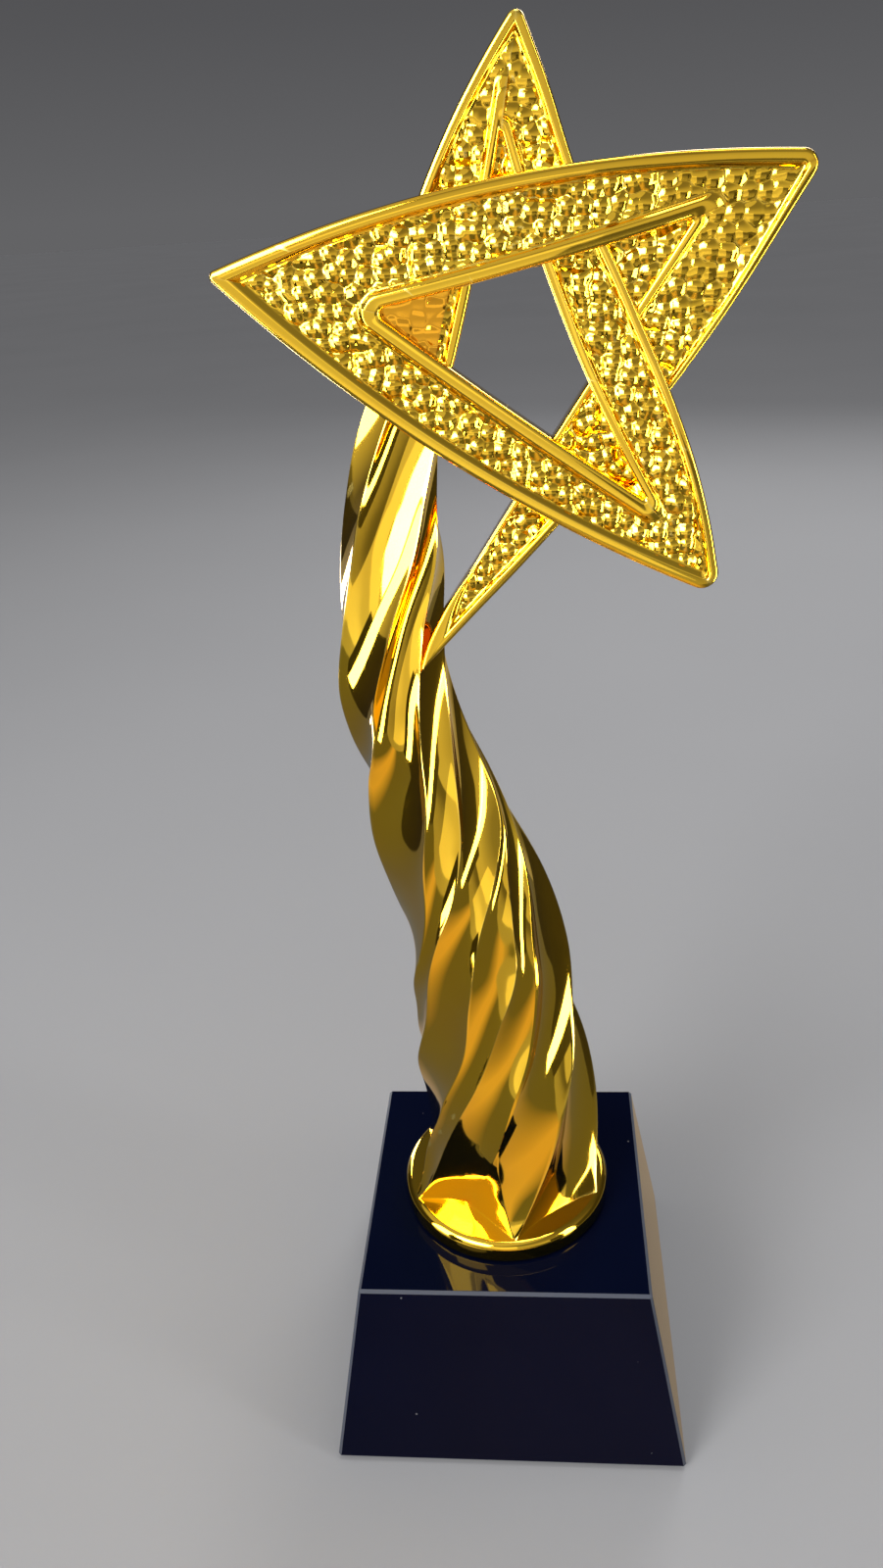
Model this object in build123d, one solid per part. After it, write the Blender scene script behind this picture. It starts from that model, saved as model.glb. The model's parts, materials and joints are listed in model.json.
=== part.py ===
"""Star award: a mirror-gold interlaced star on a twisted column, screwed to a black glass block.

Frame: +Z up, front of the award towards -Y, origin at the centre of the underside.
Every length is in millimetres and every angle in degrees.
"""

from build123d import *
import math
import os

# ---------------------------------------------------------------- base block
base_bottom_side = 80.0
base_top_side = 64.0
base_block_height = 46.5
base_edge_bevel = 0.6
felt_thickness = 1.0
felt_inset = 1.5

# ---------------------------------------------------------------- fixing stack
bolt_diameter = 6.0
bolt_clearance = 0.5
bolt_head_flats = 10.0
bolt_head_height = 4.0
bolt_tip_bevel = 0.6
bolt_length = 50.0
lock_washer_thickness = 1.6
lock_washer_outer = 11.8
lock_washer_gap = 1.2
steel_washer_outer = 20.0
steel_washer_thickness = 1.6
rubber_washer_outer = 22.0
rubber_washer_thickness = 2.0
washer_clearance = 0.25
counterbore_clearance = 2.0
counterbore_head_room = 5.0
insert_outer = 9.0
insert_length = 14.0
insert_tip_gap = 2.0
insert_mouth_bevel = 0.4
bond_gap = 0.05

# ---------------------------------------------------------------- foot and column
gasket_thickness = 0.4
gasket_radius = 21.0
foot_radius = 24.0
foot_thickness = 5.0
foot_top_round = 1.8
foot_bottom_round = 0.5
ridge_count = 6
rod_diameter = 4.0
rod_gap_above_insert = 3.0

# Stations up the column: height above the foot, sideways lean, half width, half depth,
# valley depth as a share of the ridge radius, turn of the first ridge about the vertical.
column_stations = [
    (0.0, 0.0, 22.6, 22.6, 0.86, -86.0),
    (3.5, 0.3, 21.7, 21.7, 0.74, -80.0),
    (9.0, 0.8, 20.9, 20.9, 0.64, -70.0),
    (22.0, 1.4, 20.4, 20.4, 0.60, -48.0),
    (36.0, 0.9, 19.6, 19.6, 0.60, -28.0),
    (51.0, -0.2, 17.6, 17.6, 0.60, -8.0),
    (66.0, -1.8, 17.4, 16.8, 0.60, 11.0),
    (80.0, -5.0, 16.8, 15.6, 0.60, 28.0),
    (93.0, -8.6, 14.8, 14.2, 0.60, 44.0),
    (105.0, -11.8, 12.9, 12.8, 0.60, 58.0),
    (116.0, -15.2, 11.5, 11.8, 0.60, 71.0),
    (126.0, -16.9, 11.0, 10.8, 0.62, 82.0),
    (137.0, -16.8, 10.4, 9.4, 0.64, 94.0),
    (149.0, -15.4, 9.9, 7.6, 0.66, 106.0),
    (161.0, -14.4, 8.4, 5.8, 0.68, 117.0),
    (172.0, -12.4, 7.4, 4.6, 0.70, 127.0),
    (183.0, -8.6, 6.4, 3.9, 0.72, 136.0),
    (191.0, -6.8, 4.2, 3.2, 0.74, 142.0),
]

# ---------------------------------------------------------------- star
star_centre_x = 11.0
star_centre_above_foot = 182.6
arm_thickness = 5.0
front_face_y = -6.5
rim_width = 2.0
rim_height = 0.8
pointed_end_reach = 6.0  # how much faster the rims' meeting point recedes than the rims widen

# Outer tips and inner notches of the star, as offsets from its centre (x, z).
top_tip = (-1.0, 48.9)
right_tip = (43.8, 26.9)
low_tip = (30.4, -38.4)
left_tip = (-51.4, 16.1)
stem_tip = (-22.0, -52.6)
top_notch = (-3.9, 33.3)
right_notch = (25.1, 19.5)
low_notch = (18.4, -22.6)
left_notch = (-24.2, 9.1)
# Lower end of the left arm, where the column takes over: outer and inner corner.
left_arm_foot_outer = (-25.6, 2.6)
left_arm_foot_inner = (-15.2, -6.6)

tip_round = {"top": 1.4, "right": 2.4, "low": 2.8, "left": 1.0}
bow_top_arm = 4.8
bow_top_arm_inner = -0.3
bow_lower_arm = 4.2
bow_lower_arm_inner = 0.4
bow_right_arm = 1.8
bow_right_arm_inner = -1.9
bow_stem = 3.9
bow_stem_inner = -1.3
bow_left_arm = 2.8
bow_left_arm_inner = -0.6

# How far each arm lies behind the front face, as (distance along the arm, set-back).
setback_top_arm = [(0.0, 0.0), (58.0, 0.0), (70.0, 0.8), (80.0, 2.6), (86.0, 3.0), (104.0, 3.0)]
setback_lower_arm = [(0.0, 0.0), (110.0, 0.0)]
setback_right_arm = [(0.0, 0.0), (20.0, 0.0), (34.0, 0.9), (50.0, 2.4), (60.0, 2.8), (100.0, 3.0)]
setback_stem = [(0.0, 3.0), (20.0, 3.0), (34.0, 3.7), (60.0, 3.6), (80.0, 1.2), (112.0, -3.0)]
setback_left_arm = [(0.0, 3.0), (70.0, 3.0)]

web_thickness = 2.0
web_setback = 4.2
pin_diameter = 2.0
pin_cover = 1.4
far = 200.0  # longer than anything it has to cut through

# ---------------------------------------------------------------- heights that follow
block_bottom = felt_thickness
block_top = block_bottom + base_block_height
foot_bottom = block_top + gasket_thickness
foot_top = foot_bottom + foot_thickness
star_centre_z = foot_top + star_centre_above_foot
bolt_hole_radius = bolt_diameter / 2 + bolt_clearance
washer_bore_radius = bolt_diameter / 2 + washer_clearance
counterbore_radius = rubber_washer_outer / 2 + counterbore_clearance
stack_height = (
    counterbore_head_room
    + bolt_head_height
    + lock_washer_thickness
    + steel_washer_thickness
    + rubber_washer_thickness
)
counterbore_top = block_bottom + stack_height
rubber_washer_bottom = counterbore_top - rubber_washer_thickness
steel_washer_bottom = rubber_washer_bottom - steel_washer_thickness
lock_washer_bottom = steel_washer_bottom - lock_washer_thickness
bolt_head_bottom = lock_washer_bottom - bolt_head_height
bolt_end = lock_washer_bottom + bolt_length
insert_top = foot_bottom + insert_length


def export(shape, name):
    """Writes one node to its own STEP file."""
    export_step(shape, os.path.join("parts", name + ".step"))


def ring(outer, inner, bottom, height):
    """A flat ring or washer standing on the given height."""
    body = Pos(0, 0, bottom + height / 2) * Cylinder(outer, height)
    return body - Pos(0, 0, bottom + height / 2) * Cylinder(inner, height + 1)


# ---------------------------------------------------------------- base block and what is under it
def base_block():
    slope = math.degrees(math.atan2((base_bottom_side - base_top_side) / 2, base_block_height))
    underside = Pos(0, 0, block_bottom) * Rectangle(base_bottom_side, base_bottom_side)
    block = extrude(underside, base_block_height, taper=slope)
    block = chamfer(block.edges(), base_edge_bevel)
    bore = Pos(0, 0, block_top) * Cylinder(bolt_hole_radius, 2 * base_block_height)
    counterbore_height = counterbore_top - block_bottom
    pocket_z = block_bottom + counterbore_height / 2 - 0.5
    pocket = Pos(0, 0, pocket_z) * Cylinder(counterbore_radius, counterbore_height + 1)
    return block - bore - pocket


def base_felt():
    side = base_bottom_side - 2 * felt_inset
    return Pos(0, 0, felt_thickness / 2) * Box(side, side, felt_thickness)


def rubber_washer():
    return ring(rubber_washer_outer / 2, washer_bore_radius, rubber_washer_bottom, rubber_washer_thickness)


def steel_washer():
    return ring(steel_washer_outer / 2, washer_bore_radius, steel_washer_bottom, steel_washer_thickness)


def lock_washer():
    """A split spring washer, with its cut facing the front."""
    body = ring(lock_washer_outer / 2, washer_bore_radius, lock_washer_bottom, lock_washer_thickness)
    cut = Box(lock_washer_gap, lock_washer_outer, 3 * lock_washer_thickness)
    return body - Pos(0, -lock_washer_outer / 2, lock_washer_bottom) * cut


def clamp_bolt():
    hexagon = RegularPolygon(bolt_head_flats / 2, 6, major_radius=False)
    head = extrude(Pos(0, 0, bolt_head_bottom) * hexagon, bolt_head_height)
    shank = Pos(0, 0, lock_washer_bottom + bolt_length / 2) * Cylinder(bolt_diameter / 2, bolt_length)
    shank = chamfer(shank.faces().sort_by(Axis.Z)[-1].edges(), bolt_tip_bevel)
    return head + shank


def threaded_insert():
    """A brass bush cast into the foot; the bolt screws into it."""
    body = ring(insert_outer / 2, bolt_diameter / 2 + bond_gap, foot_bottom, insert_length)
    return chamfer(body.edges().filter_by(GeomType.CIRCLE).group_by(Axis.Z)[-1], insert_mouth_bevel)


def foot_gasket():
    return ring(gasket_radius, bolt_hole_radius, block_top, gasket_thickness)


# ---------------------------------------------------------------- foot and column
def foot_disc():
    disc = Pos(0, 0, foot_bottom + foot_thickness / 2) * Cylinder(foot_radius, foot_thickness)
    disc = fillet(disc.faces().sort_by(Axis.Z)[-1].edges(), foot_top_round)
    disc = fillet(disc.faces().sort_by(Axis.Z)[0].edges(), foot_bottom_round)
    return disc - Pos(0, 0, foot_bottom) * Cylinder(insert_outer / 2 + bond_gap, 3 * foot_thickness)


def column_section(station):
    """One cross-section: a star of sharp ridges and valleys, squeezed to its half width and depth."""
    height, lean, half_width, half_depth, valley, turn = station
    corners = []
    for step in range(2 * ridge_count):
        angle = math.radians(turn + step * 180.0 / ridge_count)
        reach = 1.0 if step % 2 == 0 else valley
        x = lean + half_width * reach * math.cos(angle)
        y = half_depth * reach * math.sin(angle)
        corners.append((x, y, foot_top + height))
    return Face(Wire.make_polygon(corners, close=True))


def column_body():
    return loft([column_section(station) for station in column_stations])


def rod_points():
    """The bent steel rod's corners: it follows the column's lean, inside the valleys."""
    start = insert_top + rod_gap_above_insert
    lean = {station[0]: station[1] for station in column_stations}
    return [
        (lean[22.0], 0.0, start),
        (lean[36.0], 0.0, foot_top + 36.0),
        (lean[80.0], 0.0, foot_top + 80.0),
        (lean[126.0], 0.0, foot_top + 126.0),
        (lean[149.0], 0.0, foot_top + 149.0),
    ]


def rod(radius):
    line = FilletPolyline(*rod_points(), radius=40.0)
    profile = Plane(origin=line @ 0, z_dir=line % 0) * Circle(radius)
    return sweep(profile, path=line)


# ---------------------------------------------------------------- star outlines
def point(offset, y=0.0):
    """A point given as an offset from the star's centre."""
    return Vector(star_centre_x + offset[0], y, star_centre_z + offset[1])


def bowed(start, end, bow, outward):
    """The middle of an arc from start to end that bulges by bow to the side of outward."""
    middle = (start + end) * 0.5
    along = (end - start).normalized()
    side = Vector(-along.Z, 0, along.X)
    if side.dot(outward) < 0:
        side = side * -1
    return middle + side * bow


def sharpened(tip, notch, towards, radius):
    """Where the two sides of a tip would meet if it weren't rounded off."""
    half_angle = math.radians((notch - tip).get_angle(towards))
    return tip - (notch - tip).normalized() * (radius / math.sin(half_angle) - radius)


def rounded_tip(tip, notch, towards, radius):
    """Where a tip's rounding leaves the outer edge, its middle, and where it meets the mitre line."""
    bisector = (notch - tip).normalized()
    half_angle = math.radians(bisector.get_angle(towards))
    centre = tip + bisector * (radius / math.sin(half_angle))
    leave = tip + towards.normalized() * (radius / math.tan(half_angle))
    meet = centre - bisector * radius
    middle = centre + ((leave - centre).normalized() + (meet - centre).normalized()).normalized() * radius
    return leave, middle, meet


class Arm:
    """One ribbon of the star: its outline in the XZ plane and the set-back along its length."""

    def __init__(self, start, end, bow, bow_inner, setback):
        self.start, self.end = start, end
        self.bow, self.bow_inner, self.setback = bow, bow_inner, setback
        self.outward = (point(start[0]) + point(end[0])) * 0.5 - point((0, 0))

    def corners(self, inset):
        """The outline's four corners, moved in from both sides by inset: outer pair, inner pair."""
        a, b, na, nb = (point(p) for p in (self.start[0], self.end[0], self.start[1], self.end[1]))
        top = bowed(a, b, self.bow, self.outward)
        for tip, notch, radius in ((a, na, self.start[2]), (b, nb, self.end[2])):
            if notch == tip:
                slide = inset * pointed_end_reach
                middle = (top + bowed(a, b, -self.bow_inner, self.outward)) * 0.5
                yield (tip + (middle - tip).normalized() * slide,) * 2
                continue
            sharp = sharpened(tip, notch, top - tip, radius) if radius else tip
            across = (notch - sharp).normalized()
            reach = inset / math.sin(math.radians(across.get_angle(top - sharp)))
            yield sharp + across * reach, notch - across * reach

    def edges(self, inset):
        """The outline's edges, moved in by inset from the outer and the inner side."""
        (a, na), (b, nb) = self.corners(inset)
        top = bowed(a, b, self.bow, self.outward)
        leave_a, first, leave_b, last = a, a, b, b
        edges = []
        if self.start[2]:
            leave_a, middle, first = rounded_tip(a, na, top - a, max(self.start[2] - inset, 0.3))
            edges.append(ThreePointArc(first, middle, leave_a))
        if self.end[2]:
            leave_b, middle, last = rounded_tip(b, nb, top - b, max(self.end[2] - inset, 0.3))
            edges.append(ThreePointArc(leave_b, middle, last))
        edges.append(ThreePointArc(leave_a, top, leave_b))
        edges.append(ThreePointArc(nb, bowed(nb, na, self.bow_inner, self.outward), na))
        edges.append(Line(na, first))
        if (last - nb).length > 0.01:
            edges.append(Line(last, nb))
        return edges

    def prism(self, inset=0.0):
        """The outline, run right through the star from front to back."""
        outline = Face(Wire(self.edges(inset)))
        return extrude(outline, amount=far / 4, dir=(0, 1, 0), both=True)

    def strip(self, front, back):
        """All the space between two depths behind the arm's own front face."""
        a, b = point(self.start[0]), point(self.end[0])
        along = (b - a).normalized()
        side = Vector(-along.Z, 0, along.X)
        lead = 20.0

        def line(depth):
            first, last = self.setback[0][1], self.setback[-1][1]
            stations = [(-lead, first), *self.setback, (self.setback[-1][0] + lead, last)]
            return [a + along * s + Vector(0, front_face_y + d + depth, 0) for s, d in stations]

        outline = Wire.make_polygon([*line(front), *reversed(line(back))], close=True)
        return extrude(Face(outline), amount=far / 2, dir=side, both=True)

    def lap(self):
        """All the space from this arm's back face forwards, to be cut from what passes behind it."""
        return self.prism() & self.strip(-far / 4, arm_thickness)

    def solid(self):
        body = self.prism() & self.strip(0.0, arm_thickness)
        field = self.prism(rim_width)
        body = body - (field & self.strip(-1.0, rim_height))
        return body - (field & self.strip(arm_thickness - rim_height, arm_thickness + 1.0))


top_corner = (top_tip, top_notch, tip_round["top"])
right_corner = (right_tip, right_notch, tip_round["right"])
low_corner = (low_tip, low_notch, tip_round["low"])
left_corner = (left_tip, left_notch, tip_round["left"])
left_arm_foot = (left_arm_foot_outer, left_arm_foot_inner, 0)
arms = {
    "star_top_arm": Arm(left_corner, right_corner, bow_top_arm, bow_top_arm_inner, setback_top_arm),
    "star_lower_arm": Arm(left_corner, low_corner, bow_lower_arm, bow_lower_arm_inner, setback_lower_arm),
    "star_right_arm": Arm(low_corner, top_corner, bow_right_arm, bow_right_arm_inner, setback_right_arm),
    "star_stem_arm": Arm(right_corner, (stem_tip, stem_tip, 0), bow_stem, bow_stem_inner, setback_stem),
    "star_left_arm": Arm(top_corner, left_arm_foot, bow_left_arm, bow_left_arm_inner, setback_left_arm),
}

# Which arms pass in front of each arm where they cross: it is halved over them.
passes_behind = {
    "star_top_arm": [],
    "star_lower_arm": [],
    "star_right_arm": ["star_top_arm"],
    "star_stem_arm": ["star_right_arm", "star_lower_arm"],
    "star_left_arm": ["star_top_arm", "star_lower_arm"],
}


# Inner triangles that are closed by a thin plate, as corners about the star's centre.
webs = {
    "star_top_web": [(-3.9, 36.0), (-11.0, 14.0), (4.0, 17.0), (10.0, 14.0)],
    "star_right_web": [(27.5, 21.0), (9.0, 18.0), (16.0, 8.0)],
    "star_low_web": [(21.0, -24.5), (16.5, -9.5), (6.5, -19.0)],
}

# Blind pins along Y: place about the star's centre, set-back of the arm in front, length.
crossing_pins = [
    ((6.0, 21.5), 0.0, 4.8),
    ((-14.0, 19.6), 0.0, 4.8),
    ((15.5, -3.5), 1.27, 4.8),
    ((3.5, -19.8), 0.0, 4.8),
]
column_pins = [
    ((-20.0, -6.5), 0.0, 6.0),
    ((-18.5, 5.5), 3.0, 4.5),
]


def halved_arm(name, pins):
    """An arm with a lap cut into its front wherever another arm passes before it."""
    body = arms[name].solid()
    for other in passes_behind[name]:
        body = body - arms[other].lap()
    return body - pins


def web(corners):
    """A thin plate that closes one inner triangle of the star, set back between its arms."""
    outline = Face(Wire.make_polygon([point(c, front_face_y + web_setback) for c in corners], close=True))
    plate = extrude(outline, amount=web_thickness, dir=(0, 1, 0))
    for arm in arms.values():
        plate = plate - arm.prism()
    return plate


def pin(offset, setback, length):
    """A straight pin along Y that starts under the front of the arm it holds."""
    middle = front_face_y + setback + pin_cover + length / 2
    return Pos(point(offset, middle)) * Rot(90, 0, 0) * Cylinder(pin_diameter / 2, length)


def column(bores):
    """The twisted casting, hollowed for the insert and rod and seated under the star's arms."""
    body = column_body() - bores
    for name in ("star_lower_arm", "star_left_arm", "star_stem_arm"):
        body = body - arms[name].lap()
    return body


def main():
    os.makedirs("parts", exist_ok=True)
    export(base_block(), "crystal_base")
    export(base_felt(), "base_felt")
    export(foot_gasket(), "foot_gasket")
    export(rubber_washer(), "rubber_washer")
    export(steel_washer(), "steel_washer")
    export(lock_washer(), "lock_washer")
    export(clamp_bolt(), "clamp_bolt")
    export(threaded_insert(), "threaded_insert")
    export(foot_disc(), "foot_disc")

    crossing = [pin(*values) for values in crossing_pins]
    seated = [pin(*values) for values in column_pins]
    pins = Compound(crossing + seated)
    hole_depth = insert_length + insert_tip_gap
    insert_hole = Pos(0, 0, foot_bottom) * Cylinder(insert_outer / 2 + bond_gap, 2 * hole_depth)
    export(Compound(crossing), "crossing_pins")
    export(Compound(seated), "column_pins")
    export(rod(rod_diameter / 2), "column_rod")
    export(column([insert_hole, rod(rod_diameter / 2 + bond_gap), *crossing, *seated]), "twisted_column")
    for name in arms:
        export(halved_arm(name, pins), name)
    for name, corners in webs.items():
        export(web(corners), name)


main()
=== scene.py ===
"""Star award: the looks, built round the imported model. Lengths in metres, front towards -Y, up +Z."""

import json
import math

import bpy
import numpy as np
from mathutils import Matrix, Vector


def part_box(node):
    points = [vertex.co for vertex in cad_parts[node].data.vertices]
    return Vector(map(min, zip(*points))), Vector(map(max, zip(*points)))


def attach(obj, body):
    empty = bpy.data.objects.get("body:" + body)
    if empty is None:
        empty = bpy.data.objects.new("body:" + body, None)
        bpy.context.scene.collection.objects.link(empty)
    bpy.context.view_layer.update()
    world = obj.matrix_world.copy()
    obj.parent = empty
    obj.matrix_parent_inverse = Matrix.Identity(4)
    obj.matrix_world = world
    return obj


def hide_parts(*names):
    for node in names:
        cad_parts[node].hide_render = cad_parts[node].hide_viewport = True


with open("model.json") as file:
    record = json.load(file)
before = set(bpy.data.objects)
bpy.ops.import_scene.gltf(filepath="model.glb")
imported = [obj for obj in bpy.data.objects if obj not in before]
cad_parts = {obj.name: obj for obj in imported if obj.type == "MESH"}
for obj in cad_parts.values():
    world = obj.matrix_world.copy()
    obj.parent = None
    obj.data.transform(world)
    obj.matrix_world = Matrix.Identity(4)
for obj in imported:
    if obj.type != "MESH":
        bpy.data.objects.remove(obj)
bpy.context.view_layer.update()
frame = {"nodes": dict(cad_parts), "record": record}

nodes = frame["nodes"]
mm = 0.001

# ---------------------------------------------------------------- places read from the frame
foot_low, foot_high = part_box("foot_disc")
block_low, block_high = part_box("crystal_base")
stem_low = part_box("star_stem_arm")[0]
column_foot = foot_high.z
foot_radius = (foot_high.x - foot_low.x) / 2
stem_point = (-22.0, -52.6)  # the stem ribbon's lowest point about the star's centre, in millimetres
star_centre = np.array([stem_low.x - stem_point[0] * mm, stem_low.z - stem_point[1] * mm])

# ================================================================ shading by expressions


class Link:
    """A socket in a node tree that takes part in arithmetic: each operator adds a Math node."""

    def __init__(self, kit, socket):
        self.kit, self.socket = kit, socket

    def math(self, operation, *values):
        return self.kit.add("ShaderNodeMath", {"operation": operation}, dict(enumerate(values)))

    def __add__(self, other):
        return self.math("ADD", self, other)

    def __sub__(self, other):
        return self.math("SUBTRACT", self, other)

    def __mul__(self, other):
        return self.math("MULTIPLY", self, other)

    def __truediv__(self, other):
        return self.math("DIVIDE", self, other)

    def __gt__(self, other):
        return self.math("GREATER_THAN", self, other)

    def __lt__(self, other):
        return self.math("LESS_THAN", self, other)

    def __radd__(self, other):
        return self.math("ADD", other, self)

    def __rsub__(self, other):
        return self.math("SUBTRACT", other, self)

    def __rmul__(self, other):
        return self.math("MULTIPLY", other, self)

    def __abs__(self):
        return self.math("ABSOLUTE", self)

    def clipped(self):
        return self.math("MINIMUM", self.math("MAXIMUM", self, 0.0), 1.0)


class Kit:
    """Adds nodes to one tree, for a material or for Geometry Nodes."""

    def __init__(self, tree):
        self.tree = tree

    def add(self, kind, settings=None, values=None, output=0):
        node = self.tree.nodes.new(kind)
        for name, value in (settings or {}).items():
            if name == "stops":
                self.set_stops(node.color_ramp, value)
            else:
                setattr(node, name, value)
        for name, value in (values or {}).items():
            socket = node.inputs[name]
            if isinstance(value, Link):
                self.tree.links.new(value.socket, socket)
            else:
                socket.default_value = value
        return Link(self, node.outputs[output])

    def set_stops(self, ramp, stops):
        while len(ramp.elements) < len(stops):
            ramp.elements.new(1.0)
        for element, (place, colour) in zip(ramp.elements, stops):
            element.position, element.color = place, (*colour, 1.0)

    def split(self, vector):
        node = self.tree.nodes.new("ShaderNodeSeparateXYZ")
        self.tree.links.new(vector.socket, node.inputs[0])
        return [Link(self, output) for output in node.outputs]

    def mix(self, factor, first, second):
        """A colour part of the way from first to second."""
        settings = {"data_type": "RGBA"}
        first, second = (c if isinstance(c, Link) else (*c, 1.0) for c in (first, second))
        return self.add("ShaderNodeMix", settings, {0: factor, 6: first, 7: second}, output=2)


class Finish(Kit):
    """One material: a kit for its tree, with the shader's fixed numbers set once."""

    def __init__(self, name, **fixed):
        self.material = bpy.data.materials.new(name)
        self.material.use_nodes = True
        super().__init__(self.material.node_tree)
        self.shader = self.tree.nodes["Principled BSDF"]
        for socket, value in fixed.items():
            self.shader.inputs[socket.replace("_", " ")].default_value = value
        self.place = self.add("ShaderNodeTexCoord", output=3)

    def noise(self, scale, detail=3.0, roughness=0.5, stretch=(1, 1, 1)):
        where = self.place
        if stretch != (1, 1, 1):
            where = self.add("ShaderNodeMapping", None, {0: where, 3: stretch})
        values = {"Vector": where, "Scale": scale, "Detail": detail, "Roughness": roughness}
        return self.add("ShaderNodeTexNoise", None, values)

    def wear(self, **surface):
        """Feeds the shader's varying sockets, and its normal from a bump height."""
        bump = surface.pop("bump", None)
        for socket, value in surface.items():
            self.tree.links.new(value.socket, self.shader.inputs[socket.replace("_", " ")])
        if bump:
            height, distance, strength = bump
            values = {"Strength": strength, "Distance": distance, "Height": height}
            normal = self.add("ShaderNodeBump", None, values)
            self.tree.links.new(normal.socket, self.shader.inputs["Normal"])
        return self.material


def mirror_gold(name, light, deep, recess_shade=(0.50, 0.23, 0.008), rubbed_and_highlit=(1.0, 0.80, 0.22)):
    """Bright plating: redder in broad patches; darker and redder in recesses, which is painted shade;
    lighter and duller on crests, partly wear from rubbing and partly a painted highlight.
    """
    f = Finish(name, Metallic=1.0, Coat_Weight=0.35, Coat_Roughness=0.03)
    patches = f.noise(45.0, 2.0)
    haze = f.noise(260.0, 4.0, 0.6)
    colour = f.mix((patches * 1.6 - 0.3).clipped(), light, deep)
    sharpness = f.add("ShaderNodeNewGeometry", output="Pointiness")
    # Painted shade: concave places turn darker and redder, as if shade fell in them.
    hollow = ((0.495 - sharpness) * 11.0).clipped()
    # Lighter crests: partly wear from rubbing, partly a painted highlight.
    crest = ((sharpness - 0.515) * 14.0).clipped()
    colour = f.mix(crest * 0.6, f.mix(hollow * 0.75, colour, recess_shade), rubbed_and_highlit)
    return f.wear(
        Base_Color=colour,
        Roughness=0.035 + 0.05 * haze + 0.17 * crest,
        bump=(f.noise(85.0, 2.0, 0.4), 0.35 * mm, 0.12),
    )


def black_crystal():
    """Near-black navy glass, polished, with fine ground bevels; their lighter colour is a painted
    highlight.
    """
    f = Finish("black_crystal", IOR=1.5, Specular_IOR_Level=0.07)
    x, y, z = f.split(f.place)
    foot_side, top_side, bevel = 80 * mm, 64 * mm, 0.66 * mm
    slope = (block_high.x - block_low.x - top_side) / 2 / (block_high.z - block_low.z)
    reach = foot_side / 2 - slope * (z - block_low.z)
    by_x = abs(x) > reach - bevel
    by_y = abs(y) > reach - bevel
    by_top = z > block_high.z - bevel
    by_floor = z < block_low.z + bevel
    edge = ((by_x + by_y + by_top + by_floor) > 1.5).clipped()
    specks = f.add("ShaderNodeTexVoronoi", None, {"Vector": f.place, "Scale": 230.0}) < 0.055
    dust = specks * (f.noise(160.0, 1.0) > 0.61)
    body = f.mix(f.noise(30.0, 2.0), (0.0009, 0.0022, 0.012), (0.0019, 0.0036, 0.018))
    # The bevels' lighter colour is a painted highlight.
    colour = f.mix(edge, f.mix(dust, body, (0.16, 0.16, 0.18)), (0.10, 0.11, 0.14))
    polish = 0.018 + 0.02 * f.noise(400.0)
    return f.wear(Base_Color=colour, Roughness=polish + 0.22 * edge + 0.5 * dust)


def black_felt():
    f = Finish("black_felt", Sheen_Weight=0.4)
    fuzz = f.noise(2600.0, 4.0, 0.7)
    return f.wear(
        Base_Color=f.mix(fuzz, (0.012, 0.012, 0.014), (0.035, 0.035, 0.04)),
        Roughness=0.85 + 0.1 * fuzz,
        bump=(fuzz, 0.3 * mm, 0.8),
    )


def dark_rubber():
    f = Finish("dark_rubber")
    grain = f.noise(1500.0, 3.0)
    return f.wear(
        Base_Color=f.mix(grain, (0.02, 0.02, 0.021), (0.04, 0.04, 0.042)),
        Roughness=0.6 + 0.2 * grain,
        bump=(grain, 0.1 * mm, 0.5),
    )


def turned_metal(name, light, dark):
    """Zinc-plated steel or bare brass, with fine rings from the lathe."""
    f = Finish(name, Metallic=1.0)
    rings = f.noise(900.0, 3.0, 0.5, stretch=(0.15, 0.15, 4.0))
    return f.wear(
        Base_Color=f.mix(rings, dark, light),
        Roughness=0.24 + 0.2 * rings,
        bump=(rings, 0.05 * mm, 0.4),
    )


gold = mirror_gold("mirror_gold", (1.0, 0.64, 0.035), (1.0, 0.56, 0.022))
# A darker, redder copy of the gold: painted shade, used on the left web.
painted_shade_gold = mirror_gold("painted_shade_gold", (0.92, 0.46, 0.014), (0.80, 0.33, 0.008))

# ================================================================ making meshes


def piece(name, vertices, faces, material, body, stands_for, crease=50.0):
    """A finished piece: smooth except at creases, riding on a body in place of CAD nodes."""
    mesh = bpy.data.meshes.new(name)
    mesh.from_pydata([tuple(v) for v in vertices], [], faces)
    mesh.validate()
    mesh.shade_smooth()
    mesh.set_sharp_from_angle(angle=math.radians(crease))
    mesh.materials.append(material)
    made = bpy.data.objects.new(name, mesh)
    bpy.context.scene.collection.objects.link(made)
    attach(made, body)
    if stands_for:
        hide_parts(*stands_for)
    return made


def ring_faces(rows, across):
    """Quads between successive rings of points, numbered row by row."""
    faces = []
    for row in range(rows - 1):
        for step in range(across):
            a = row * across + step
            b = row * across + (step + 1) % across
            faces.append((a, b, b + across, a + across))
    return faces


def eased(stations, places):
    """Values at places along stations, rows of (place, value, value...), on a smooth curve."""
    stations = np.array(stations, float)
    at, values = stations[:, 0], stations[:, 1:]
    slopes = np.gradient(values, at, axis=0)
    places = np.clip(np.atleast_1d(places), at[0], at[-1])
    upper = np.clip(np.searchsorted(at, places, side="right"), 1, len(at) - 1)
    span = at[upper] - at[upper - 1]
    t = ((places - at[upper - 1]) / span)[:, None]
    span = span[:, None]
    low, high = values[upper - 1], values[upper]
    bend = slopes[upper - 1] * span * t * (1 - t) ** 2 - slopes[upper] * span * t * t * (1 - t)
    return low * (1 + 2 * t) * (1 - t) ** 2 + high * t * t * (3 - 2 * t) + bend


def unit(vector):
    """The same direction, one long."""
    return vector / np.linalg.norm(vector)


# ================================================================ foot disc


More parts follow.
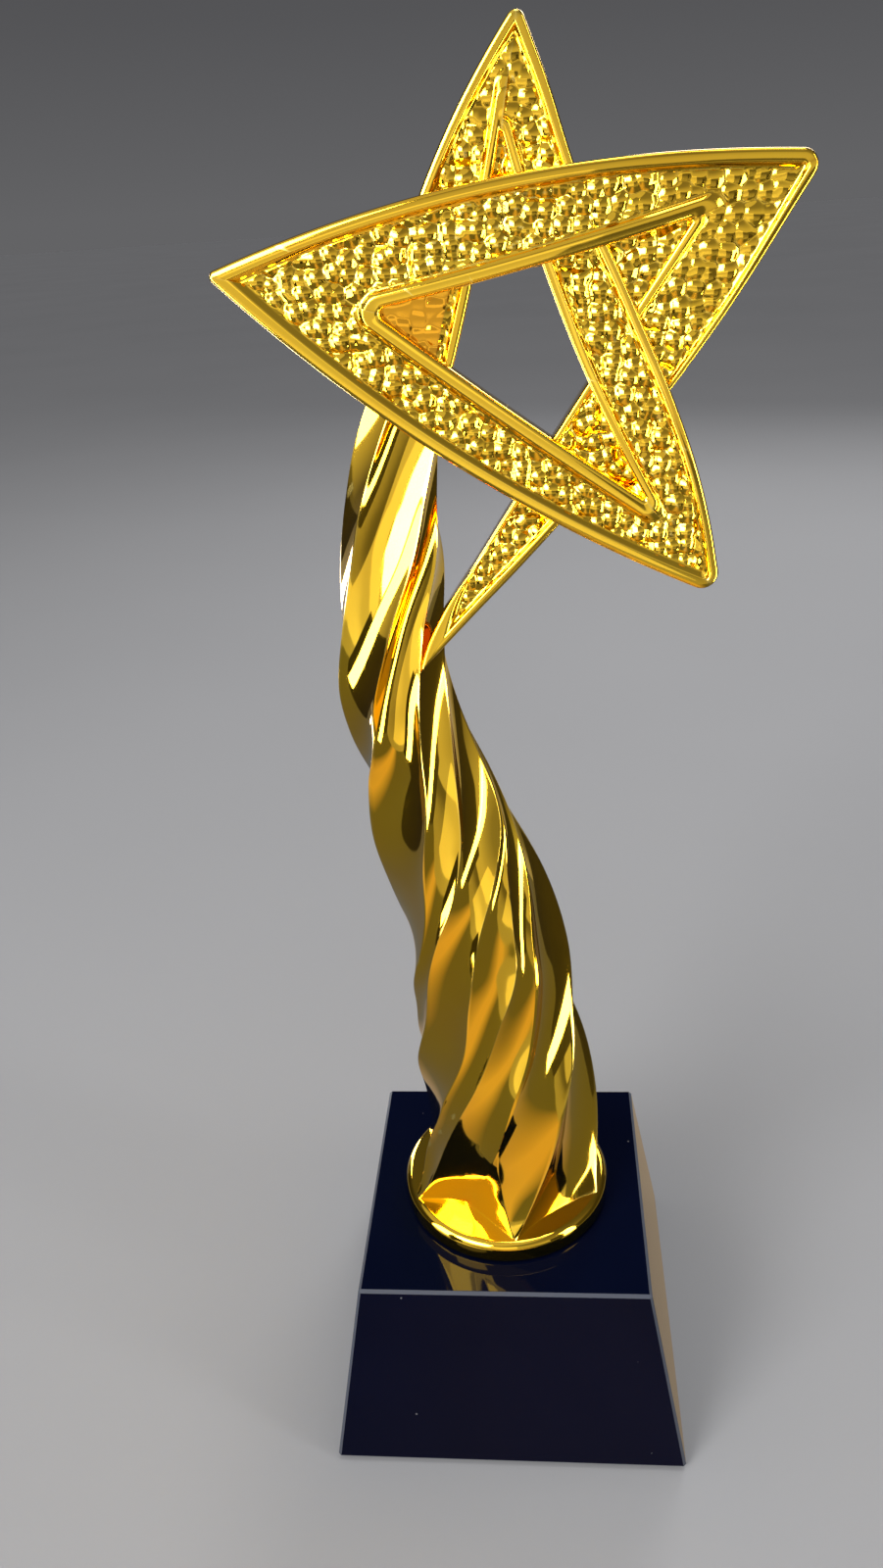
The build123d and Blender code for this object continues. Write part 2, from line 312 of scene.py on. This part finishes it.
def turned_disc():
    """The foot, turned about the column's axis: rounded upper rim, small lower one."""
    low, high = foot_low.z, foot_high.z
    upper_round, lower_round = 1.8 * mm, 0.5 * mm
    profile = []
    for step in range(7):
        turn = math.radians(-90 + 15 * step)
        radius = foot_radius - lower_round * (1 - math.cos(turn))
        profile.append((radius, low + lower_round * (1 + math.sin(turn))))
    for step in range(19):
        turn = math.radians(5 * step)
        radius = foot_radius - upper_round * (1 - math.cos(turn))
        profile.append((radius, high - upper_round * (1 - math.sin(turn))))
    profile.append((foot_radius / 2, high))
    around = 192
    vertices = []
    for radius, z in profile:
        for step in range(around):
            turn = 2 * math.pi * step / around
            vertices.append((radius * math.cos(turn), radius * math.sin(turn), z))
    faces = ring_faces(len(profile), around)
    last = len(vertices) - around
    faces.append(tuple(range(around - 1, -1, -1)))
    faces.append(tuple(range(last, last + around)))
    return piece("foot_disc_turned", vertices, faces, gold, "figure", ["foot_disc"], 60.0)


# ================================================================ twisted column
# Height above the foot, lean, half width, half depth, in millimetres.
column_stations = [
    (0.0, 0.0, 22.9, 22.6),
    (3.0, 0.5, 21.8, 21.8),
    (9.0, 1.2, 20.8, 20.9),
    (22.0, 1.9, 20.0, 20.4),
    (36.0, 1.0, 19.8, 19.6),
    (51.0, -0.2, 17.8, 17.6),
    (66.0, -2.3, 17.9, 16.8),
    (80.0, -5.0, 16.8, 15.6),
    (93.0, -8.8, 15.2, 14.2),
    (105.0, -12.0, 13.1, 12.8),
    (116.0, -15.1, 11.6, 11.8),
    (126.0, -16.9, 10.9, 10.8),
    (137.0, -16.8, 10.2, 9.4),
    (149.0, -15.4, 9.9, 7.6),
    (161.0, -14.4, 8.4, 5.8),
    (172.0, -12.4, 7.4, 4.6),
    (183.0, -8.6, 6.2, 3.9),
    (190.0, -6.8, 4.2, 2.2),
]

# Each arris as it climbs: height above the foot, direction in degrees, reach as a share of the section.
arrises = {
    "right": [
        (0, -21, 1), (27, 14, 1), (54, 50, 1), (75, 80, 1), (90, 100, 1), (112, 130, 1),
        (190, 212, 1),
    ],
    "front": [
        (0, -83, 1), (9, -74, 1), (31, -50, 1), (54, -16, 1), (75, 9, 1), (97, 36, 1),
        (137, 95, 1), (190, 160, 1),
    ],
    "fin_front": [
        (0, -85, 0.97), (8, -92, 0.92), (22, -97, 1), (37, -81, 1), (49, -65, 1), (63, -52, 1),
        (75, -44, 1), (95, -10, 1), (112, 22, 1), (140, 60, 1), (190, 128, 1),
    ],
    "fin_back": [
        (0, -128, 0.64), (10, -112, 0.84), (22, -99, 1), (37, -83, 1), (49, -67, 1), (63, -54, 1),
        (75, -46, 1), (95, -12, 1), (112, 20, 1), (140, 58, 1), (190, 126, 1),
    ],
    "lens_front": [
        (0, -152, 1), (22, -133, 1), (39, -107, 1), (54, -86, 1), (67, -66, 1), (80, -56, 1),
        (88, -46, 1), (100, -18, 1), (112, 4, 1), (140, 38, 1), (190, 100, 1),
    ],
    "lens_back": [
        (0, -155, 1), (10, -160, 1), (30, -136, 1), (46, -114, 1), (61, -101, 1), (78, -80, 0.96),
        (90, -52, 1), (100, -22, 1), (114, 2, 1), (140, 34, 1), (190, 96, 1),
    ],
    "left": [
        (0, -212, 1), (27, -180, 1), (54, -143, 1), (75, -113, 1), (88, -86, 1), (95, -73, 1),
        (107, -55, 1), (119, -31, 1), (127, -16, 1), (140, 6, 1), (160, 36, 1), (190, 72, 1),
    ],
    "ribbon_edge": [
        (0, -240, 1), (27, -205, 1), (54, -165, 1), (70, -132, 1), (92, -105, 1), (107, -84, 1),
        (112, -77, 1), (126, -57, 0.95), (137, -42, 0.9), (150, -20, 0.9), (160, 0, 0.95),
        (172, 20, 1), (190, 40, 1),
    ],
    "ribbon_back": [
        (0, -290, 1), (54, -218, 1), (85, -176, 1), (93, -166, 1), (100, -156, 1), (108, -140, 1),
        (114, -123, 1), (125, -105, 1), (131, -95, 1), (145, -74, 1.02), (160, -44, 1),
        (172, -20, 1), (190, -5, 1),
    ],
    "rear": [
        (0, -330, 1), (54, -262, 1), (85, -232, 1), (100, -210, 1), (114, -182, 1), (126, -160, 1),
        (145, -138, 1), (160, -127, 1), (172, -110, 1), (190, -95, 1),
    ],
}
# How deep a flute sags between its arrises, as a share of its width, by height; two flutes go deeper.
flute_sag = [(0, 0.07), (40, 0.09), (75, 0.11), (110, 0.12), (138, 0.05), (190, 0.03)]
deeper = {
    "ribbon_edge": [(0, 0), (95, 0), (112, 0.12), (124, 0.2), (140, 0.16), (160, 0.06), (190, 0)],
    "ribbon_back": [(0, 0), (112, 0), (145, 0.09), (172, 0.13), (190, 0.1)],
}
flat_face = "fin_front"  # the fin's face, up to fin_back, has no flute
gather = 0.35  # how far the points across a flute crowd towards its arrises
bluntness = 0.3  # how much of its neighbours a point on an arris takes


def twisted_column():
    """Sharp arrises that climb and turn, with hollow flutes between them."""
    levels, samples = 260, 20
    heights = np.linspace(0.0, column_stations[-1][0], levels)
    size = eased(column_stations, heights)
    lines = [eased(stations, heights) for stations in arrises.values()]
    sags = {name: eased(flute_sag, heights)[:, 0] for name in arrises}
    for name, extra in deeper.items():
        sags[name] = sags[name] + eased(extra, heights)[:, 0]
    sags[flat_face] = np.zeros(levels)
    even = [step / samples for step in range(samples)]
    shares = [share - gather * math.sin(2 * math.pi * share) / (2 * math.pi) for share in even]
    rings = []
    for level in range(levels):
        lean, half_width, half_depth = size[level]
        centre = np.array([lean, 0.0])
        crest = []
        for line in lines:
            turn, reach = math.radians(line[level][0]), line[level][1]
            across, out = half_width * reach * math.cos(turn), half_depth * reach * math.sin(turn)
            crest.append(centre + (across, out))
        for index, name in enumerate(arrises):
            start, end = crest[index], crest[(index + 1) % len(crest)]
            inward = unit(centre - (start + end) / 2)
            sag = sags[name][level] * np.linalg.norm(end - start)
            for share in shares:
                where = start + (end - start) * share + inward * sag * 4 * share * (1 - share)
                rings.append((where[0] * mm, where[1] * mm, column_foot + heights[level] * mm))
    across = len(lines) * samples
    points = np.array(rings).reshape(levels, across, 3)
    blunt = points.copy()
    for index in range(0, across, samples):
        neighbours = (points[:, index - 1] + points[:, (index + 1) % across]) / 2
        blunt[:, index] = points[:, index] * (1 - bluntness) + neighbours * bluntness
    vertices = blunt.reshape(-1, 3)
    faces = [tuple(reversed(f)) for f in ring_faces(levels, across)]
    faces.append(tuple(range(across)))
    faces.append(tuple(reversed(range(across * (levels - 1), across * levels))))
    stands_for = ["twisted_column"]
    return piece("column_fluted", vertices, faces, gold, "figure", stands_for, 40.0)


# ================================================================ hammered star
# Outer tips and inner notches about the star's centre, in millimetres (x, z).
tips = {"top": (-1.0, 48.9), "right": (43.8, 26.9), "low": (30.4, -38.4), "left": (-51.4, 16.1)}
notches = {"top": (-3.9, 33.3), "right": (25.1, 19.5), "low": (18.4, -22.6), "left": (-24.2, 9.1)}
tip_rounds = {"top": 1.4, "right": 2.4, "low": 2.8, "left": 1.0}
notch_rounds = {"top": 0.2, "right": 0.4, "low": 0.3, "left": 1.1}
notch_growth = 0.8  # how much of an inset the notch's rounding gains
pointed_reach = 6.0  # how far an inset slides along the stem ribbon's point
left_foot = ((-25.6, 2.6), (-15.2, -6.6))
ribbon_thickness = 5.0
front_face = -6.5
light_blow = 0.42  # how much shallower the beads are near the right and the top tips
# A rim from its wall to the field: how far in, in rim widths, and how far below the rim's flat top.
rim_profile = [
    (0, 0.75), (0.06, 0.48), (0.2, 0.24), (0.4, 0.1), (0.62, 0.05), (1.5, 0.0),
    (1.66, 0.03), (1.8, 0.14), (2.15, 0.68), (2.3, 0.82), (2.5, 0.85),
]
field_drop = rim_profile[-1][1]


def bowed_line(start, end, bow, outward, shares):
    """Points along a shallow arc from start to end that bulges outwards by bow."""
    along = unit(end - start)
    side = np.array([-along[1], along[0]])
    if side @ outward < 0:
        side = -side
    shares = np.asarray(shares)[:, None]
    rise = eased(bow, shares[:, 0]) if isinstance(bow, list) else bow * 4 * shares * (1 - shares)
    return start + (end - start) * shares + side * rise


def arc(centre, first, last, radius):
    """Points round a centre between two directions."""
    return [centre + unit(first * (1 - t) + last * t) * radius for t in np.linspace(0, 1, 12)]


class Ribbon:
    """One arm of the star: rows of points along it, at any distance in from its outer or inner edge."""

    def __init__(self, first, last, bow, inner_bow, rim, setback):
        self.ends = [self.read_end(end) for end in (first, last)]
        self.bow, self.inner_bow, self.rim, self.setback = bow, inner_bow, rim, setback
        (a, notch_a), (b, notch_b) = (end[:2] for end in self.ends)
        self.start, self.along = a, unit(b - a)
        self.outward = (a + b) / 2
        self.crown = bowed_line(a, b, bow, self.outward, [0.5])[0]
        self.hollow = bowed_line(notch_a, notch_b, inner_bow, self.outward, [0.5])[0]

    def read_end(self, end):
        if isinstance(end, str):
            return np.array(tips[end]), np.array(notches[end]), tip_rounds[end], notch_rounds[end]
        outer, inner = end
        return np.array(outer), np.array(inner), 0.0, 0.0

    def mitre(self, end, corner, neighbour):
        """The unit step from tip to notch at an end, and how fast an inset slides along it."""
        tip, notch = end[:2]
        if np.allclose(tip, notch):
            middle = (self.ends[0][0] + self.ends[0][1]) / 2
            return unit(middle - tip), pointed_reach
        across = unit(notch - tip)
        return across, 1 / abs(np.cross(across, unit(neighbour - corner)))

    def outer_corner(self, end, inset):
        """An end's points at a distance in from the outer edge, from the mitre round to the edge."""
        tip, radius = end[0], end[2]
        across, reach = self.mitre(end, tip, self.crown)
        corner = tip + across * (inset * reach - radius * (reach - 1))
        radius = radius - inset
        if radius < 0.05:
            return [corner]
        towards = unit(self.crown - tip)
        centre = corner + across * radius * reach
        leave = corner + towards * radius * math.sqrt(reach * reach - 1)
        return arc(centre, -across, unit(leave - centre), radius)

    def inner_corner(self, end, inset):
        """The same from the inner edge, whose notch is rounded the other way."""
        tip, notch, _, radius = end
        across, reach = self.mitre(end, notch, self.hollow)
        if radius == 0.0:
            return [notch + across * inset * reach * (1 if np.allclose(tip, notch) else -1)]
        corner = notch - across * (inset * reach + radius * (reach - 1))
        radius += inset * notch_growth
        along = unit(self.hollow - notch)
        side = np.array([-along[1], along[0]])
        side = side if side @ across < 0 else -side
        return arc(corner + across * radius * reach, -across, side, radius)

    def row(self, corner, bow, inset, count):
        first, last = (corner(end, inset) for end in self.ends)
        middle = bowed_line(first[-1], last[-1], bow, self.outward, np.linspace(0, 1, 160))
        return self.even(np.array([*first[:-1], *middle, *last[:-1][::-1]]), count)

    def outer_row(self, inset, count):
        return self.row(self.outer_corner, self.bow, inset, count)

    def inner_row(self, inset, count):
        return self.row(self.inner_corner, self.inner_bow, inset, count)

    def even(self, points, count):
        steps = np.linalg.norm(np.diff(points, axis=0), axis=1)
        reach = np.concatenate([[0.0], np.cumsum(steps)])
        wanted = np.linspace(0, reach[-1], count)
        return np.stack([np.interp(wanted, reach, points[:, axis]) for axis in (0, 1)], axis=1)

    def depth(self, points):
        return front_face + eased(self.setback, (points - self.start) @ self.along)[:, 0]


def strike(points):
    """How hard the hammer fell, as a share: lightest near the right and the top tips."""
    x, z = points[:, 0], points[:, 1]
    near_right = np.clip((x - 12.0) / 14.0, 0, 1) * np.clip((z - 2.0) / 10.0, 0, 1)
    near_top = np.clip((z - 31.0) / 9.0, 0, 1)
    return 1.0 - light_blow * np.maximum(near_right, near_top)


def star_ribbon(name, ribbon, spacing=0.3):
    """A closed ribbon: rims front and back, walls between, and fields marked for hammering."""
    length = np.linalg.norm(ribbon.ends[1][0] - ribbon.ends[0][0])
    count = int(length / spacing)
    outer = [ribbon.outer_row(inset * ribbon.rim, count) for inset, _ in rim_profile]
    inner = [ribbon.inner_row(inset * ribbon.rim, count) for inset, _ in rim_profile]
    widest = np.linalg.norm(outer[-1] - inner[-1], axis=1).max()
    fields = max(int(widest / spacing), 4)
    rows = [(row, drop, 0.0) for row, (_, drop) in zip(outer, rim_profile)]
    for step in range(1, fields):
        share = step / fields
        rows.append((outer[-1] * (1 - share) + inner[-1] * share, field_drop, 1.0))
    rows += [(row, drop, 0.0) for row, (_, drop) in reversed(list(zip(inner, rim_profile)))]
    vertices, dimple = [], []
    for side in (1, -1):
        for row, drop, field in rows if side > 0 else reversed(rows):
            depth = ribbon.depth(row)
            y = depth + drop if side > 0 else depth + ribbon_thickness - drop
            at = row + star_centre / mm
            vertices += [(x * mm, d * mm, z * mm) for (x, z), d in zip(at, y)]
            dimple += list(field * side * strike(row))
    loops = 2 * len(rows)
    faces = []
    for row in range(loops):
        following = (row + 1) % loops
        for step in range(count - 1):
            a, b = row * count + step, following * count + step
            faces.append((a, a + 1, b + 1, b))
    faces.append(tuple(row * count for row in range(loops)))
    faces.append(tuple(row * count + count - 1 for row in reversed(range(loops))))
    return hammered(name, vertices, faces, dimple)


def hammer_tree():
    """Dents the points whose 'dimple' is not 0, into beads that crowd each other."""
    tree = bpy.data.node_groups.new("hammer_field", "GeometryNodeTree")
    face = tree.interface
    face.new_socket("Geometry", in_out="INPUT", socket_type="NodeSocketGeometry")
    sizes = {"Dent Spacing": 2.6 * mm, "Dent Depth": 0.95 * mm, "Unevenness": 0.6 * mm}
    for name, value in sizes.items():
        socket = face.new_socket(name, in_out="INPUT", socket_type="NodeSocketFloat")
        socket.default_value = value
    face.new_socket("Finish", in_out="INPUT", socket_type="NodeSocketMaterial")
    face.new_socket("Geometry", in_out="OUTPUT", socket_type="NodeSocketGeometry")
    kit = Kit(tree)
    given = tree.nodes.new("NodeGroupInput")
    geometry, spacing, depth, uneven, finish = (Link(kit, given.outputs[i]) for i in range(5))
    place = kit.add("GeometryNodeInputPosition")
    dimple = kit.add("GeometryNodeInputNamedAttribute", {"data_type": "FLOAT"}, {"Name": "dimple"})
    grain = {"Vector": place, "Scale": 260.0, "Detail": 1.0}
    wander = kit.add("ShaderNodeTexNoise", None, grain, output=1)
    middle = (0.5, 0.5, 0.5)
    centred = kit.add("ShaderNodeVectorMath", {"operation": "SUBTRACT"}, {0: wander, 1: middle})
    moved = kit.add("ShaderNodeVectorMath", {"operation": "SCALE"}, {0: centred, "Scale": uneven})
    place = kit.add("ShaderNodeVectorMath", {"operation": "ADD"}, {0: place, 1: moved})
    x, _, z = kit.split(place)
    layer = dimple.math("SIGN", dimple) * 7.0  # keeps the front's beads apart from the back's
    flat = kit.add("ShaderNodeCombineXYZ", None, {0: x / spacing, 1: layer, 2: z / spacing})
    cells = {"Vector": flat, "Scale": 1.0, "Smoothness": 0.14, "Randomness": 0.62}
    bowl = kit.add("ShaderNodeTexVoronoi", {"feature": "SMOOTH_F1"}, cells)
    swell = kit.add("ShaderNodeTexNoise", None, {"Vector": flat, "Scale": 0.6, "Detail": 1.0})
    steepness, crown, sway = 1.9, 0.55, 0.45
    dent = bowl * bowl * steepness - crown + (swell - 0.5) * sway
    offset = kit.add("ShaderNodeCombineXYZ", None, {1: dent * depth * dimple})
    moved = kit.add("GeometryNodeSetPosition", None, {"Geometry": geometry, "Offset": offset})
    whole = kit.add("GeometryNodeRealizeInstances", None, {"Geometry": moved})
    done = kit.add("GeometryNodeSetMaterial", None, {"Geometry": whole, "Material": finish})
    result = tree.nodes.new("NodeGroupOutput")
    tree.links.new(done.socket, result.inputs[0])
    return tree


hammer = hammer_tree()


def hammered(name, vertices, faces, dimple, finish=gold):
    """A ribbon's mesh after the hammer tree has dented it, as a finished piece."""
    mesh = bpy.data.meshes.new(name + "_blank")
    mesh.from_pydata(vertices, [], faces)
    mesh.attributes.new("dimple", "FLOAT", "POINT").data.foreach_set("value", dimple)
    blank = bpy.data.objects.new(name + "_blank", mesh)
    bpy.context.scene.collection.objects.link(blank)
    dents = blank.modifiers.new("dents", "NODES")
    dents.node_group = hammer
    for socket in hammer.interface.items_tree:
        if socket.item_type == "SOCKET" and socket.in_out == "INPUT" and socket.name == "Finish":
            dents[socket.identifier] = finish
    graph = bpy.context.evaluated_depsgraph_get()
    whole = bpy.data.meshes.new_from_object(blank.evaluated_get(graph))
    points = [tuple(v.co) for v in whole.vertices]
    polygons = [tuple(p.vertices) for p in whole.polygons]
    bpy.data.objects.remove(blank)
    stands_for = [name] if name in nodes else []
    full_name = name + "_hammered"
    return piece(full_name, points, polygons, finish, "figure", stands_for, 55.0)


# Bows that are not plain arcs: share of the way along, and how far out the edge stands.
right_arm_bow = [
    (0, 0), (0.09, 1.3), (0.2, 2.2), (0.32, 2.3), (0.5, 1.4), (0.77, -0.2), (0.9, 0.2), (1, 0),
]
stem_bow = [(0, 0), (0.25, 3.2), (0.5, 4.2), (0.75, 2.6), (0.86, 1.4), (1, 0)]
stem_inner_bow = [(0, 0), (0.5, -1.0), (0.75, -1.5), (0.88, -1.8), (0.95, -1.1), (1, 0)]
# How far a ribbon's face lies behind the front one, by the way along it.
setbacks = {
    "top": [(0, 0), (58, 0), (70, 0.8), (80, 2.6), (86, 3), (104, 3)],
    "lower": [(0, 0), (55, 0), (110, 0)],
    "right": [(0, 0), (20, 0), (34, 0.9), (50, 2.4), (60, 2.8), (100, 3)],
    "stem": [(0, 3), (20, 3), (34, 3.7), (60, 3.6), (80, 1.2), (112, -3)],
    "left": [(0, 3), (35, 3), (70, 3)],
}
broad_rim, front_rim, slim_rim = 1.25, 1.15, 0.85
stem_end = (stem_point, stem_point)
ribbons = {
    "star_top_arm": Ribbon("left", "right", 4.7, -0.4, front_rim, setbacks["top"]),
    "star_lower_arm": Ribbon("left", "low", 4.2, 0.4, broad_rim, setbacks["lower"]),
    "star_right_arm": Ribbon("low", "top", right_arm_bow, -1.9, slim_rim, setbacks["right"]),
    "star_stem_arm": Ribbon("right", stem_end, stem_bow, stem_inner_bow, slim_rim, setbacks["stem"]),
    "star_left_arm": Ribbon("top", left_foot, 2.8, -0.6, slim_rim, setbacks["left"]),
}


# ================================================================ plates behind the inner triangles
# Corners about the star's centre, in millimetres, tucked behind the ribbons round them.
web_corners = {
    "star_top_web": [(-4.0, 38.0), (9.0, 15.0), (-11.0, 13.0)],
    "star_right_web": [(30.0, 22.5), (14.0, 3.0), (7.0, 20.0)],
    "star_low_web": [(22.0, -27.5), (3.5, -19.5), (16.0, -4.0)],
    "star_left_web": [(-29.0, 9.6), (-12.0, 15.5), (-18.0, -6.0)],
}
# The front's depth, and how hard the plate was hammered, as a share.
web_front = {
    "star_top_web": -2.3,
    "star_right_web": -2.3,
    "star_low_web": -3.0,
    "star_left_web": -3.6,
}
web_dents = {
    "star_top_web": 1.0,
    "star_right_web": 0.85,
    "star_low_web": 0.9,
    "star_left_web": 0.22,
}
# The left web takes the darker copy of the gold: painted shade.
web_finish = {"star_left_web": painted_shade_gold}
web_thickness = 2.0


def web_plate(name, corners, steps=70):
    """A thin hammered triangle."""
    a, b, c = (np.array(corner) for corner in corners)
    place = {}
    for across in range(steps + 1):
        for down in range(steps + 1 - across):
            place[across, down] = len(place)
    flat = [a + (b - a) * i / steps + (c - a) * j / steps + star_centre / mm for i, j in place]
    count = len(place)
    vertices, dimple, faces = [], [], []
    for y, side in ((web_front[name], 1.0), (web_front[name] + web_thickness, -1.0)):
        vertices += [(x * mm, y * mm, z * mm) for x, z in flat]
        dimple += [side * web_dents[name]] * count
    for (i, j), here in place.items():
        if i + j < steps:
            right, below = place[i + 1, j], place[i, j + 1]
            faces += [(here, right, below), (here + count, below + count, right + count)]
        if i + j < steps - 1:
            right, below, far = place[i + 1, j], place[i, j + 1], place[i + 1, j + 1]
            faces += [(right, far, below), (right + count, below + count, far + count)]
    for step in range(steps):
        for one, two in (
            (place[step, 0], place[step + 1, 0]),
            (place[0, step + 1], place[0, step]),
            (place[step + 1, steps - step - 1], place[step, steps - step]),
        ):
            faces.append((two, one, one + count, two + count))
    return hammered(name, vertices, faces, dimple, web_finish.get(name, gold))


# ================================================================ putting it together
turned_disc()
twisted_column()
for arm, ribbon in ribbons.items():
    star_ribbon(arm, ribbon)
for web, corners in web_corners.items():
    web_plate(web, corners)

finishes = {
    "black_glass": black_crystal(),
    "mirror_gold": gold,
    "felt": black_felt(),
    "clear_gasket": dark_rubber(),
    "black_rubber": dark_rubber(),
    "zinc_steel": turned_metal("zinc_steel", (0.66, 0.67, 0.69), (0.48, 0.49, 0.51)),
    "bare_brass": turned_metal("bare_brass", (0.80, 0.58, 0.26), (0.62, 0.42, 0.16)),
}
for part in frame["record"]["subparts"]:
    mesh = nodes[part["node"]].data
    for index in range(len(mesh.materials)):
        mesh.materials[index] = finishes[part["material_slot"]]

# ================================================================ floor, light and camera


def flat_sheet(name, corners, finish):
    """A sheet with four corners, for the set."""
    mesh = bpy.data.meshes.new(name)
    mesh.from_pydata(corners, [], [(0, 1, 2, 3)])
    mesh.materials.append(finish)
    made = bpy.data.objects.new(name, mesh)
    bpy.context.scene.collection.objects.link(made)
    return made


def level_corners(across, front, back, height):
    """The corners of a level rectangle, in order round it."""
    round_it = [(-across, front), (across, front), (across, back), (-across, back)]
    return [(x, y, height) for x, y in round_it]


def gloss_only(made):
    """Seen only in what the gold and the glass reflect."""
    made.visible_camera = made.visible_diffuse = made.visible_shadow = False


def pale_floor():
    f = Finish("pale_floor", Roughness=0.9, Specular_IOR_Level=0.0)
    finish = f.wear(Base_Color=f.mix(f.noise(3.0, 2.0), (0.38, 0.38, 0.39), (0.42, 0.42, 0.43)))
    reach = 12.0
    floor = flat_sheet("floor", level_corners(reach, -reach, reach, 0), finish)


def dark_card(name, x, front, back, height):
    """A black card standing beside the award."""
    f = Finish(name, Roughness=0.9)
    tone = f.mix(f.noise(40.0), (0.02, 0.018, 0.015), (0.035, 0.032, 0.028))
    corners = [(x, front, 0), (x, back, 0), (x, back, height), (x, front, height)]
    card = flat_sheet(name, corners, f.wear(Base_Color=tone))
    gloss_only(card)


def dark_mat():
    """A dark cloth under the award, seen only in reflections; its lighter, warmer middle is painted
    light, a warm pool that the gold reflects.
    """
    f = Finish("dark_mat", Roughness=0.9, Specular_IOR_Level=0.0)
    x, _, _ = f.split(f.place)
    middle, fade = 0.012, 0.075
    # Painted light: a lighter, warmer pool in the middle, under the award.
    painted_light_pool = (1.25 - abs(x - middle) / fade).clipped()
    finish = f.wear(Base_Color=f.mix(painted_light_pool, (0.14, 0.145, 0.14), (0.66, 0.50, 0.32)))
    mat = flat_sheet("dark_mat", level_corners(0.5, -0.36, 0.35, 0.4 * mm), finish)
    gloss_only(mat)


def soft_light(name, place, target, width, height, power, only_gloss=False):
    """A lamp turned towards a target; it is never seen itself."""
    lamp = bpy.data.lights.new(name, "AREA")
    lamp.shape, lamp.size, lamp.size_y = "RECTANGLE", width, height
    lamp.energy = power
    made = bpy.data.objects.new(name, lamp)
    made.location, made.visible_camera, made.visible_diffuse = place, False, not only_gloss
    made.rotation_euler = (Vector(target) - Vector(place)).to_track_quat("-Z", "Y").to_euler()
    bpy.context.scene.collection.objects.link(made)


def studio():
    """A dim room that is pale near the horizon, with soft lamps on both sides and above."""
    world = bpy.data.worlds.new("studio")
    bpy.context.scene.world = world
    world.use_nodes = True
    kit = Kit(world.node_tree)
    direction = kit.add("ShaderNodeTexCoord", output=0)
    _, front_to_back, height = kit.split(direction)
    behind = [
        (0.0, (0.125, 0.125, 0.13)),
        (0.12, (0.09, 0.09, 0.095)),
        (0.4, (0.04, 0.04, 0.045)),
        (1.0, (0.12, 0.12, 0.125)),
    ]
    before = [
        (0.0, (0.60, 0.60, 0.60)),
        (0.15, (0.58, 0.58, 0.58)),
        (0.5, (0.25, 0.25, 0.26)),
        (1.0, (0.18, 0.18, 0.19)),
    ]
    walls = [kit.add("ShaderNodeValToRGB", {"stops": wall}, {0: height}) for wall in (before, behind)]
    tone = kit.mix((0.5 + front_to_back * 1.5).clipped(), *walls)
    background = world.node_tree.nodes["Background"]
    world.node_tree.links.new(tone.socket, background.inputs["Color"])
    background.inputs["Strength"].default_value = 1.0
    middle = (0, 0, 0.15)
    soft_light("left_lamp", (-0.6, -0.7, 0.75), middle, 0.5, 0.5, 7.0)
    soft_light("window", (-0.6, -0.9, 0.62), middle, 0.7, 0.5, 21.0, only_gloss=True)
    soft_light("left_panel", (-0.27, -0.13, 0.17), middle, 0.10, 0.28, 1.1, only_gloss=True)
    soft_light("right_panel", (0.24, -0.13, 0.13), middle, 0.06, 0.26, 0.6, only_gloss=True)
    soft_light("front_panel", (-0.26, -0.5, 0.14), (-0.26, 0.0, 0.14), 0.7, 0.28, 0.34, only_gloss=True)
    soft_light("rear_panel", (-0.2, 0.26, 0.16), middle, 0.06, 0.26, 0.6, only_gloss=True)
    dark_card("left_card", -0.3, -0.34, 0.22, 0.2)
    dark_card("right_card", 0.3, -0.34, 0.22, 0.2)
    soft_light("right_lamp", (0.85, -0.35, 0.45), middle, 0.10, 0.7, 2.0)
    soft_light("top_lamp", (0.1, 0.1, 1.1), middle, 0.35, 0.35, 2.5)
    soft_light("back_lamp", (0.35, 0.95, 0.7), middle, 0.5, 0.3, 3.0)
    overcast = bpy.data.lights.new("overcast", "SUN")
    overcast.energy, overcast.angle = 0.5, math.radians(80)
    sky = bpy.data.objects.new("overcast", overcast)
    sky.rotation_euler = (math.radians(12), math.radians(-18), 0)
    bpy.context.scene.collection.objects.link(sky)
    bpy.context.scene.view_settings.view_transform = "Standard"


def viewing_camera():
    """Close in front, a little above the star, looking down."""
    data = bpy.data.cameras.new("camera")
    data.sensor_width, data.lens = 36.0, 26.48
    data.clip_start = 0.01
    camera = bpy.data.objects.new("camera", data)
    yaw, pitch, roll = (math.radians(a) for a in (5.93, 26.98, -3.96))
    ahead = math.cos(pitch)
    forward = Vector((-math.sin(yaw) * ahead, math.cos(yaw) * ahead, -math.sin(pitch)))
    level = Vector((math.cos(yaw), math.sin(yaw), 0))
    upright = level.cross(forward)
    right = math.cos(roll) * level + math.sin(roll) * upright
    up = math.cos(roll) * upright - math.sin(roll) * level
    turn = Matrix((right, up, -forward)).transposed().to_4x4()
    camera.matrix_world = Matrix.Translation((0.0121, -0.2047, 0.2608)) @ turn
    bpy.context.scene.collection.objects.link(camera)
    bpy.context.scene.camera = camera


pale_floor()
dark_mat()
studio()
viewing_camera()
